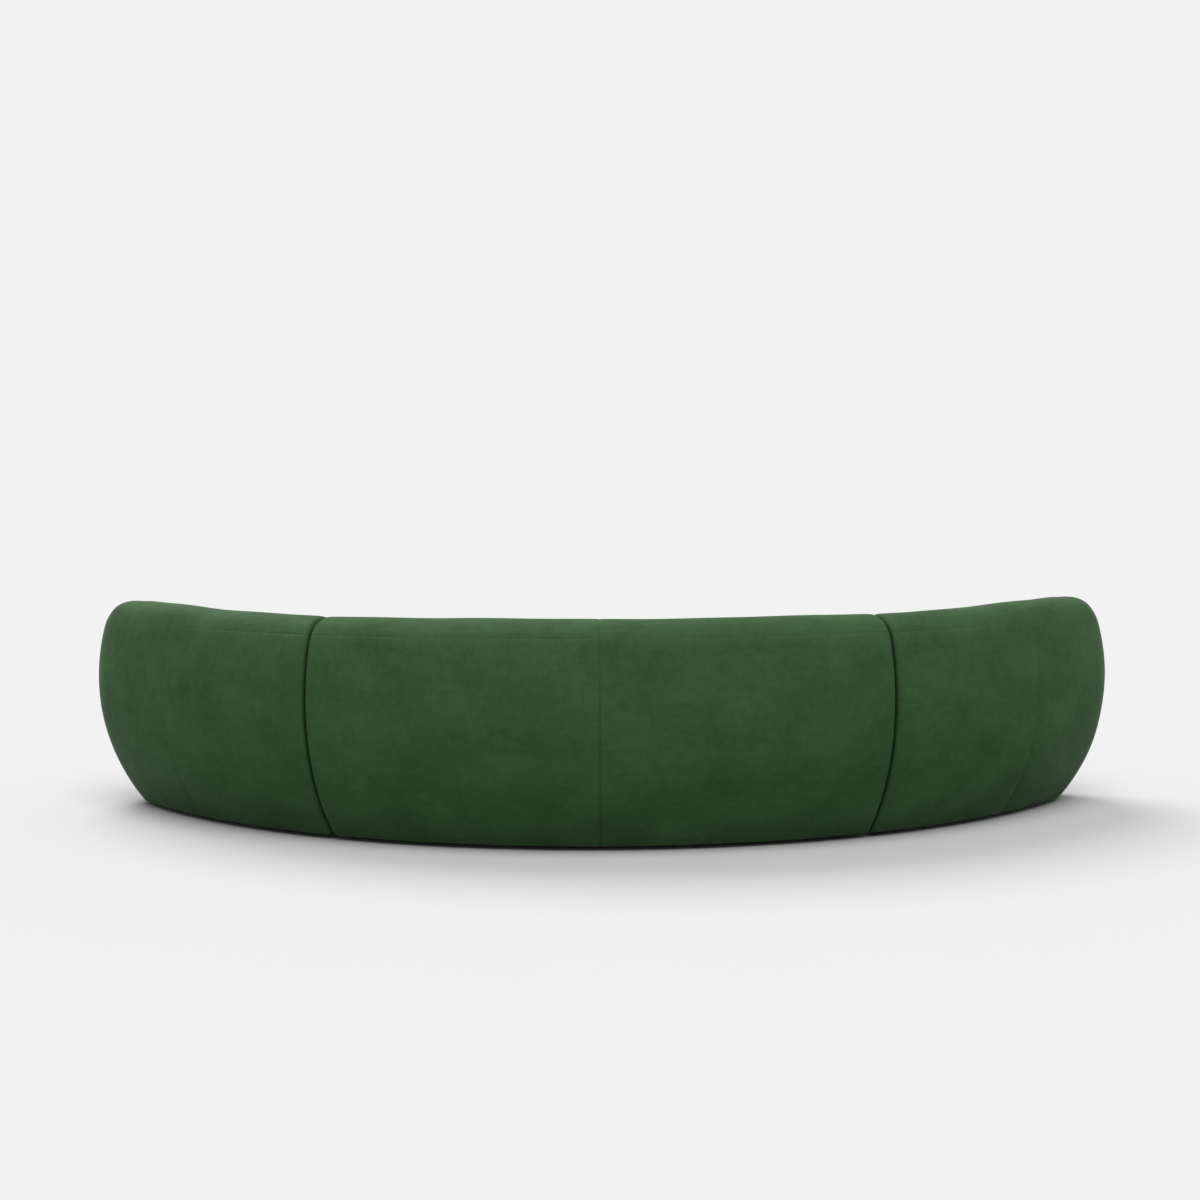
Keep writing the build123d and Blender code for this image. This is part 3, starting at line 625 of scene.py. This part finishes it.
def cover(name, profile, columns, rows, lift, hand, crowns):
    """A whole cover: its swept skin, the hems under its two ends, and the padded sides over them."""
    grid = sweep(profile, columns, rows, lift, hand)
    first, last = (1 + int(np.searchsorted(columns, hem)) for hem in profile.hems)
    inner = len(EDGE_TURNS)
    hems = [end_hem(grid[0], grid[inner]), end_hem(grid[-1], grid[-1 - inner])]
    sides = []
    for end, sense, crown in zip((0, -1), (-1, 1), crowns):
        outward = sense * plan(rows[end][0])[3] * (hand, 1)
        sides.append(crowned(grid[end, first:last + 1], outward, crown))
    return mesh_of(name, [grid, *hems, *sides])


TOP_SEAM = back.mark("roll", 32.0)
CREST = back.mark("roll", 90.0)
INNER_SEAM = back.mark("roll", 146.0)
KNEE = back.mark("knee", 180.0)
END_SEAM = BACK_RADIUS * math.radians(END_SEAM_ANGLE)
back_columns = columns_of(back, MESH_STEP, (TOP_SEAM, INNER_SEAM), back.over("heel", 5))
BACK_LINES = (back.hems[0], TOP_SEAM, INNER_SEAM, KNEE, back.hems[1])
BACK_SWELL = (0.0016, 0.0016, 0.0080, 0.0)
CORNER_LEAD = 0.12
CORNER_EASE = 0.10
TOP_SEAM_FADE = (END_SEAM - 0.50, 0.45)
TOP_BRIDGE = 0.06


def inner_corner(travel, run):
    """The inside of an outer corner, where a back cover has no room to swell."""
    return (travel > CORNER_TRAVEL - CORNER_EASE) & (run > CREST)


def top_seam_share(travel, middle):
    """How much the top seam shows: unevenly, and on an end module less and less towards its end."""
    uneven = 0.7 + 0.3 * np.sin(7.0 * travel + 2 * np.sin(3.1 * travel))
    start, length = TOP_SEAM_FADE
    return uneven if middle else uneven * (1 - ease((travel - start) / length))


def bridged(swell):
    """The swell of a back cover where it runs on over the line of the top seam."""
    clear = np.abs(back_columns - TOP_SEAM) > TOP_BRIDGE
    return np.array([np.interp(back_columns, back_columns[clear], line[clear]) for line in swell])


RISE = 0.015
RISE_CLIMB = (1.05, 0.75)
RISE_DROP = (2.02, 0.3)
RISE_LOST = 0.7


def end_rise(travel):
    """How the top of an end module climbs on its way to the outer corner, and comes down beyond it."""
    climb, drop = (ease((travel - start) / length) for start, length in (RISE_CLIMB, RISE_DROP))
    return RISE * climb * (1 - RISE_LOST * drop)


GATHER_HEIGHT = 0.0014
GATHER_PITCH = 330
GATHER_WANDER = 61
GATHER_REACH = 0.03
GATHER_START = 0.008
GATHER_PLACE = TOP_SEAM + 0.03
GATHER_SPREAD = 0.09


def side_gathers(run, side):
    """Fine gathers at the sides of a back cover, by its top seam, where it is pulled round the foam."""
    gathers = np.sin(run * GATHER_PITCH + 2 * np.sin(run * GATHER_WANDER))
    gathers = gathers * np.exp(-side / GATHER_REACH) * fullness(side, GATHER_START)
    return GATHER_HEIGHT * gathers * np.exp(-(((run - GATHER_PLACE) / GATHER_SPREAD) ** 2))


OUTSIDE_WADDING = 0.0026
INSIDE_WADDING = 0.0030
CENTRE_SEAM_DEPTH = 0.0026
FINE_SEAM_DEPTH = 0.0007
DEEPEST_SEAM = 0.0034
TOP_BAND = 0.085
TOP_BAND_FREE = 0.85
TOP_BAND_SHALLOWER = 0.6
PANEL_FADE = 0.09
SEAT_CONTACT = KNEE - 0.09
CONTACT_EASE = 0.16
EDGE_HOLD = 0.03
HEM_HOLD = 0.04
TOP_HOLD = 0.03
SEAM_HOLD = 0.02
SEAM_END = 0.012


def back_lift(rows, swell, draw, upright, middle):
    """Outward lift of a back cover: its swell and wadding, seams drawn in, tight hems and edges."""
    travel, run = places_of(rows), back_columns[None, :]
    side = np.minimum(travel - travel[0, 0], travel[-1, 0] - travel)
    inside = ease((run - TOP_SEAM) / (INNER_SEAM - TOP_SEAM))
    top_band = np.exp(-(((run - CREST) / TOP_BAND) ** 4))
    sewn = top_seam_share(travel, middle)
    panel = 1.0 if middle else ease((TOP_SEAM - run) / PANEL_FADE)
    swell = swell + (1 - sewn) * (bridged(swell) - swell)

    free = fullness(side, EDGE_HOLD) * fullness(run - back.hems[0], HEM_HOLD) * (run > back.hems[0])
    free = free * np.clip((SEAT_CONTACT - run) / CONTACT_EASE, 0, 1)
    free = free * (1 - sewn * (1 - fullness(run - TOP_SEAM, TOP_HOLD)))
    free = free * fullness(run - INNER_SEAM, SEAM_HOLD)
    tied = 1 - fullness(travel - upright, SEAM_HOLD)
    free = free * (1 - tied * panel * (1 - TOP_BAND_FREE * top_band))
    rise = 0.0 if middle else end_rise(travel) * top_band
    corner = 1 - inside * ease((travel - CORNER_TRAVEL + CORNER_LEAD) / CORNER_EASE)
    wadding = OUTSIDE_WADDING + INSIDE_WADDING * inside
    lift = swell * corner + free * (rise + (wadding + unevenness(travel, run, draw)) * corner)

    for line, share in ((TOP_SEAM, sewn), (INNER_SEAM, 1.0)):
        stitches = seam(run - line, FINE_SEAM_DEPTH) + puckers(run - line, travel, draw)
        lift = lift + share * stitches * fullness(side, SEAM_END)
    stitches = seam(travel - upright, CENTRE_SEAM_DEPTH if middle else FINE_SEAM_DEPTH)
    stitches = stitches * (1 - TOP_BAND_SHALLOWER * top_band) + puckers(travel - upright, run, draw)
    lift = lift + panel * ((run > back.hems[0]) & (run < KNEE)) * stitches
    return np.maximum(lift + side_gathers(run, side), -DEEPEST_SEAM)


MIDDLE_ENDS = ((-JOINT_TRAVEL, HALF_GAP), (JOINT_TRAVEL, -HALF_GAP))
END_ENDS = ((JOINT_TRAVEL, HALF_GAP), (END_TRAVEL, 0.0))
JOINT_SWELL = 0.0046
JOINT_CROWN = Crown(JOINT_SWELL, foot=FLOOR_GAP, margin=0.25)
FLAT = Crown(0.0)
for ends, upright, middle, crowns, modules in (
    (MIDDLE_ENDS, 0.0, True, (JOINT_CROWN, JOINT_CROWN), (("middle", 1, 11),)),
    (END_ENDS, END_SEAM, False, (JOINT_CROWN, FLAT), (("right", 1, 12), ("left", -1, 13))),
):
    rows = rows_between(*ends, (upright,))
    sewn = [(upright, KNEE if middle else TOP_SEAM)]
    swell = swelling(back, back_columns, rows, BACK_LINES, sewn, BACK_SWELL, inner_corner)
    for module, hand, seed in modules:
        lift = back_lift(rows, swell, np.random.default_rng(seed), upright, middle)
        piece = cover(f"{module}_back_velvet", back, back_columns, rows, lift, hand, crowns)
        dress(piece, module, "back_cover")


# Seat covers: the same velvet over the seat foam, sewn from a top panel that rolls over the front
# and a front panel below it, and stapled under the seat frame.
FRONT_RADIUS = 1.245
SEAT_HEIGHT = 0.415
SEAT_BELLY_HEIGHT = 0.235
SEAT_FOOT_INSET = 0.100
SEAT_ROLL_RADIUS = 0.090
SEAT_ROLL_HEIGHT = SEAT_HEIGHT - SEAT_ROLL_RADIUS
SEAT_SLOPE = 5.0
SEAT_CROWN_RADIUS = 2.650
SEAT_REAR_ROUND = 0.010
SEAT_CLEARANCE = 0.004
SEAT_BACK = BACK_INSIDE - SEAT_CLEARANCE


def seat_profile():
    """From the rear hem up the hidden rear face, over the crown and the front roll, to the front hem."""
    bend = ((SEAT_BELLY_HEIGHT - FLOOR_GAP) ** 2 + SEAT_FOOT_INSET**2) / (2 * SEAT_FOOT_INSET)
    axis = FRONT_RADIUS + bend
    rise = SEAT_ROLL_HEIGHT - SEAT_BELLY_HEIGHT
    span = bend - SEAT_ROLL_RADIUS
    roll = axis - math.sqrt(span**2 - rise**2)
    shoulder = 180 - math.degrees(math.asin(rise / span))
    slope = math.radians(SEAT_SLOPE)
    drop = SEAT_CROWN_RADIUS - SEAT_ROLL_RADIUS
    crown = (roll + drop * math.sin(slope), SEAT_ROLL_HEIGHT - drop * math.cos(slope))
    rear_axis = SEAT_BACK - SEAT_REAR_ROUND
    reach = SEAT_CROWN_RADIUS - SEAT_REAR_ROUND
    rear_height = crown[1] + math.sqrt(reach**2 - (rear_axis - crown[0]) ** 2)
    rear_turn = math.degrees(math.atan2(rear_height - crown[1], rear_axis - crown[0]))
    toe = corner_on_arc(axis, SEAT_BELLY_HEIGHT, bend, FLOOR_GAP, -1)
    toe_turn = 180 + math.degrees(math.atan2(SEAT_BELLY_HEIGHT - FLOOR_GAP - HEM_ROUND, axis - toe))
    arcs = {
        "rear_foot": Arc(SEAT_BACK - HEM_ROUND, FLOOR_GAP + HEM_ROUND, HEM_ROUND, -90.0, 0.0),
        "rear_edge": Arc(rear_axis, rear_height, SEAT_REAR_ROUND, 0.0, rear_turn),
        "crown": Arc(*crown, SEAT_CROWN_RADIUS, rear_turn, 90 + SEAT_SLOPE),
        "roll": Arc(roll, SEAT_ROLL_HEIGHT, SEAT_ROLL_RADIUS, 90 + SEAT_SLOPE, shoulder),
        "belly": Arc(axis, SEAT_BELLY_HEIGHT, bend, shoulder, toe_turn),
        "toe": Arc(toe, FLOOR_GAP + HEM_ROUND, HEM_ROUND, toe_turn, 270.0),
    }
    stop = (FRONT_RADIUS + SEAT_FOOT_INSET + HEM, FLOOR_GAP)
    return Profile((SEAT_BACK - HEM, FLOOR_GAP), arcs, stop)


seat = seat_profile()
FRONT_SEAM = seat.mark("roll", 136.0)
SEAT_REAR = seat.ends("rear_edge")[1]
SEAT_STEP = 0.012
seat_columns = columns_of(seat, SEAT_STEP, (FRONT_SEAM,), seat.over("toe", 5), seat.over("rear_edge", 6))
SEAT_LINES = (seat.hems[0], SEAT_REAR, FRONT_SEAM, seat.hems[1])
SEAT_SWELL = (0.0, 0.013, 0.006)
SEAT_REAR_EASE = 0.1
SEAT_EDGE_HOLD = 0.04
SEAT_SEAM_HOLD = 0.03
SEAT_HEM_HOLD = 0.05


def seat_lift(rows, swell, draw, uprights):
    """Upward lift of a seat cover: its swell, seams drawn in, flat hidden faces."""
    travel, run = places_of(rows), seat_columns[None, :]
    side = np.minimum(travel - travel[0, 0], travel[-1, 0] - travel)
    open_top = np.clip((run - SEAT_REAR) / SEAT_REAR_EASE, 0, 1) * (run < seat.hems[1])
    free = fullness(side, SEAT_EDGE_HOLD) * open_top * fullness(run - FRONT_SEAM, SEAT_SEAM_HOLD)
    free = free * fullness(run - seat.hems[1], SEAT_HEM_HOLD)
    for upright in uprights:
        free = free * np.where(run < FRONT_SEAM, fullness(travel - upright, SEAT_SEAM_HOLD), 1)
    lift = swell + free * unevenness(travel, run, draw)
    stitches = seam(run - FRONT_SEAM) + puckers(run - FRONT_SEAM, travel, draw)
    lift = lift + stitches * fullness(side, SEAM_END)
    for upright in uprights:
        stitches = seam(travel - upright) + puckers(travel - upright, run, draw)
        lift = lift + ((run > SEAT_REAR) & (run < FRONT_SEAM)) * stitches
    return lift


SEAT_END = INSIDE_CORNER - SEAT_CLEARANCE
SEAT_ENDS = ((JOINT_TRAVEL, HALF_GAP), (CORNER_TRAVEL, SEAT_END))
OVER_HOOKS = 0.015
SEAT_JOINT_CROWN = Crown(JOINT_SWELL, foot=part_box("left_hook_plates")[1].z + OVER_HOOKS)
SEAT_END_CROWN = Crown(0.009)
for ends, uprights, crowns, modules in (
    (MIDDLE_ENDS, (0.0,), (SEAT_JOINT_CROWN, SEAT_JOINT_CROWN), (("middle", 1, 21),)),
    (SEAT_ENDS, (), (SEAT_JOINT_CROWN, SEAT_END_CROWN), (("right", 1, 22), ("left", -1, 23))),
):
    rows = rows_between(*ends, uprights)
    sewn = [(upright, FRONT_SEAM) for upright in uprights]
    swell = swelling(seat, seat_columns, rows, SEAT_LINES, sewn, SEAT_SWELL)
    for module, hand, seed in modules:
        lift = seat_lift(rows, swell, np.random.default_rng(seed), uprights)
        piece = cover(f"{module}_seat_velvet", seat, seat_columns, rows, lift, hand, crowns)
        dress(piece, module, "seat_cover")


# End facings: padded velvet panels, each on a board of its own, pinned to the ends of the back and
# cut to the same outline as it. The padding makes the front crowned and rounds its edge.
END_MODULES = (("right", 1), ("left", -1))
FACING = 0.040
FACING_ROUND = 0.026
FACING_CROWN = Crown(0.007)
FACING_FLATS = (0.0, 0.005, 0.010)
FACING_TURNS = np.radians(np.linspace(0, 90, 10))
UNDERSIDE_SHARES = np.linspace(0, 1, 12)
facing_columns = back_columns[(back_columns >= back.hems[0]) & (back_columns <= back.hems[1])]
facing_rows = [(END_TRAVEL, ahead, 0.0) for ahead in FACING_FLATS]
for turn in FACING_TURNS:
    ahead = FACING - FACING_ROUND * (1 - math.sin(turn))
    facing_rows.append((END_TRAVEL, ahead, FACING_ROUND * (1 - math.cos(turn))))
unlifted = np.zeros((len(facing_rows), len(facing_columns)))
for module, hand in END_MODULES:
    wall = sweep(back, facing_columns, facing_rows, unlifted, hand)[:, 1:-1]
    front = crowned(wall[-1], plan(END_TRAVEL)[3] * (hand, 1), FACING_CROWN)
    rear = flat_side(wall[0], SIDE_SHARES)
    underside = np.stack([flat_side(line[[0, -1]], UNDERSIDE_SHARES) for line in wall])
    halves = (underside[:, :, 0], underside[:, :, 1])
    piece = mesh_of(f"{module}_end_facing_velvet", [wall, front, rear, *halves])
    dress(piece, module, "end_facing")


# Dust covers: black non-woven cloth, stapled to the underside of the timber inside the hems, where
# it sags a little between the staples. The glides are screwed on through it.
FIBRE_BLACK = (0.012, 0.012, 0.012, 1)
FIBRE_GREY = (0.035, 0.035, 0.034, 1)
dust_cloth, tree, place = begin("black_dust_cloth")
strands = noise(tree, place, per_metre=900.0, detail=3.0, roughness=0.7)
close(tree, {
    "Base Color": between(tree, strands, FIBRE_BLACK, FIBRE_GREY),
    "Roughness": 0.75 + 0.2 * strands,
    "Normal": relief(tree, strands + 0.5 * pits(tree, place, per_metre=500.0), depth=0.0003),
})
DUST_HEIGHT = 0.0187
DUST_SAG = 0.002
DUST_EDGE = HEM + 0.0005
DUST_STEP = 0.02
DUST_SHARES = np.linspace(0, 1, 13)
STAPLE_PITCH = 42.0
BACK_STRIP = (BACK_INSIDE + DUST_EDGE, BACK_RADIUS - FOOT_INSET - DUST_EDGE)
SEAT_STRIP = (FRONT_RADIUS + SEAT_FOOT_INSET + DUST_EDGE, SEAT_BACK - DUST_EDGE)


def dust_sheet(name, module, ends, strip, hand):
    """A strip of cloth under a module, between two radii, with its sag."""
    (start, start_shift), (stop, stop_shift) = ends
    inner, outer = strip
    body = stations(start + start_shift + DUST_EDGE, stop + stop_shift - DUST_EDGE, DUST_STEP, ())
    grid = np.empty((len(body), len(DUST_SHARES), 3))
    for line, travel in zip(grid, body):
        foot, zero, out, _ = plan(travel)
        line[:, :2] = foot + (inner + (outer - inner) * DUST_SHARES - zero)[:, None] * out
        between_staples = 0.6 + 0.4 * math.sin(travel * STAPLE_PITCH)
        line[:, 2] = DUST_HEIGHT - DUST_SAG * between_staples * np.sin(math.pi * DUST_SHARES)
    grid[0, :, 2] = grid[-1, :, 2] = DUST_HEIGHT
    grid[..., 0] *= hand
    piece = mesh_of(name, [grid])
    piece.data.materials.append(dust_cloth)
    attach(piece, module)
    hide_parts(f"{module}_dust_covers")
    round(outer - inner, 3)


for module, hand in (("middle", 1), *END_MODULES):
    back_ends, seat_ends = (MIDDLE_ENDS, MIDDLE_ENDS) if module == "middle" else (END_ENDS, SEAT_ENDS)
    dust_sheet(f"{module}_back_dust_cover", module, back_ends, BACK_STRIP, hand)
    dust_sheet(f"{module}_seat_dust_cover", module, seat_ends, SEAT_STRIP, hand)


# Glides: moulded discs of matt black plastic, screwed up into the blocks and the base rails, that
# carry the sofa just clear of the floor.
MATT_BLACK = (0.012, 0.012, 0.013, 1)
SCUFFED_BLACK = (0.03, 0.03, 0.031, 1)
plastic, tree, place = begin("black_glide_plastic")
scuff = noise(tree, place, per_metre=60.0, detail=5.0, roughness=0.7)
close(tree, {
    "Base Color": between(tree, scuff, MATT_BLACK, SCUFFED_BLACK),
    "Roughness": 0.45 + 0.3 * scuff,
    "Normal": relief(tree, noise(tree, place, per_metre=1400.0), depth=0.0002),
})
give(plastic, "glides")


# Screws, joining bolts and hook plates: zinc-plated steel. The bolts tie each seat to its back, and
# the hooks on the end modules drop into the sockets on the middle one.
BRIGHT_ZINC = (0.66, 0.67, 0.68, 1)
DULL_ZINC = (0.50, 0.51, 0.53, 1)
steel, tree, place = begin("zinc_plated_steel")
haze = noise(tree, place, per_metre=90.0, detail=4.0, roughness=0.6)
close(tree, {
    "Base Color": between(tree, haze, BRIGHT_ZINC, DULL_ZINC),
    "Metallic": 1.0,
    "Roughness": 0.28 + 0.22 * haze + 0.06 * pits(tree, place, per_metre=240.0),
    "Normal": relief(tree, haze, depth=0.0001),
})
give(steel, "screws", "joining_bolts", "socket_plates", "hook_plates")


# Studio: a wide pale floor that meets a background of the same tone, under an even dome of light.
# One soft light stands high over the camera, and another high on the far side of the sofa.
Lamp = namedtuple("Lamp", "name power way spread")
LAMPS = (
    Lamp("key_light", 2.1, Vector((-0.05, 0.48, 0.87)), 50.0),
    Lamp("rim_light", 1.7, Vector((0.28, -0.48, 0.83)), 36.0),
)
DOME = 0.40
PAPER = 0.888
PALEST_PAPER = 0.95
PAPER_GRAIN = 0.004
PAPER_BOUNCE = (0.42, 0.42, 0.42, 1)
FLOOR_REACH = 150.0


def seen_directly(tree):
    """1 for rays from the camera, also by way of metal, and 0 for light on its way between surfaces."""
    kinds = ("Camera", "Glossy", "Transmission")
    rays = [tree.node("ShaderNodeLightPath", output=f"Is {kind} Ray") for kind in kinds]
    sockets = {0: rays[0] + rays[1], 1: rays[2]}
    return tree.node("ShaderNodeMath", {"operation": "ADD", "use_clamp": True}, sockets)


def grey(tone):
    """An even grey of a tone."""
    return (tone, tone, tone, 1)


paper, tree, place = begin("pale_floor")
fine = noise(tree, place, per_metre=3.0, detail=3.0)
level = DOME + sum(lamp.power * lamp.way.normalized().z / math.pi for lamp in LAMPS)
tone = min(PAPER / level, PALEST_PAPER)
sheet_tone = between(tree, fine, grey(tone * (1 + PAPER_GRAIN)), grey(tone * (1 - PAPER_GRAIN)))
close(tree, {
    "Base Color": between(tree, seen_directly(tree), PAPER_BOUNCE, sheet_tone),
    "Roughness": 0.9 + 0.1 * fine,
    "Specular IOR Level": 0.0,
})
floor_mesh = bpy.data.meshes.new("studio_floor")
corners = [(x * FLOOR_REACH, y * FLOOR_REACH, 0) for x, y in ((-1, -1), (1, -1), (1, 1), (-1, 1))]
floor_mesh.from_pydata(corners, [], [(0, 1, 2, 3)])
floor_mesh.materials.append(paper)
floor = bpy.data.objects.new("studio_floor", floor_mesh)
bpy.context.scene.collection.objects.link(floor)

world = bpy.data.worlds.new("studio_dome")
world.use_nodes = True
world.node_tree.nodes.clear()
tree = Channel(world.node_tree)
strength = DOME + (PAPER - DOME) * seen_directly(tree)
dome = tree.node("ShaderNodeBackground", sockets={"Color": (1, 1, 1, 1), "Strength": strength})
tree.node("ShaderNodeOutputWorld", sockets={"Surface": dome})
bpy.context.scene.world = world

for lamp in LAMPS:
    sun = bpy.data.lights.new(lamp.name, "SUN")
    sun.energy = lamp.power
    sun.angle = math.radians(lamp.spread)
    light = bpy.data.objects.new(lamp.name, sun)
    light.rotation_mode = "QUATERNION"
    light.rotation_quaternion = lamp.way.to_track_quat("Z", "Y")
    bpy.context.scene.collection.objects.link(light)


# Camera: behind the sofa, a little above it and close to its middle plane, as the picture was
# taken. It looks slightly down, and leans a little to one side.
CAMERA_SIDE = -0.029
CAMERA_DISTANCE = 7.2554
CAMERA_HEIGHT = 1.110
CAMERA_PITCH = math.radians(3.52)
CAMERA_ROLL = math.radians(-0.29)
CAMERA_SWING = 0.005236
SENSOR_WIDTH = 36.0
FOCAL_LENGTH = 50.03
lens = bpy.data.cameras.new("camera")
lens.sensor_width = SENSOR_WIDTH
lens.lens = FOCAL_LENGTH
lens.clip_end = 1000.0
camera = bpy.data.objects.new("camera", lens)
level_look = math.cos(CAMERA_PITCH)
look = Vector((CAMERA_SWING * level_look, -level_look, -math.sin(CAMERA_PITCH)))
roll = Matrix.Rotation(CAMERA_ROLL, 3, "Z").to_quaternion()
camera.rotation_mode = "QUATERNION"
camera.rotation_quaternion = look.to_track_quat("-Z", "Y") @ roll
camera.location = Vector((CAMERA_SIDE, ARC_CENTRE[1] + CAMERA_DISTANCE, CAMERA_HEIGHT))
bpy.context.scene.collection.objects.link(camera)
bpy.context.scene.camera = camera
bpy.context.scene.view_settings.view_transform = "Standard"
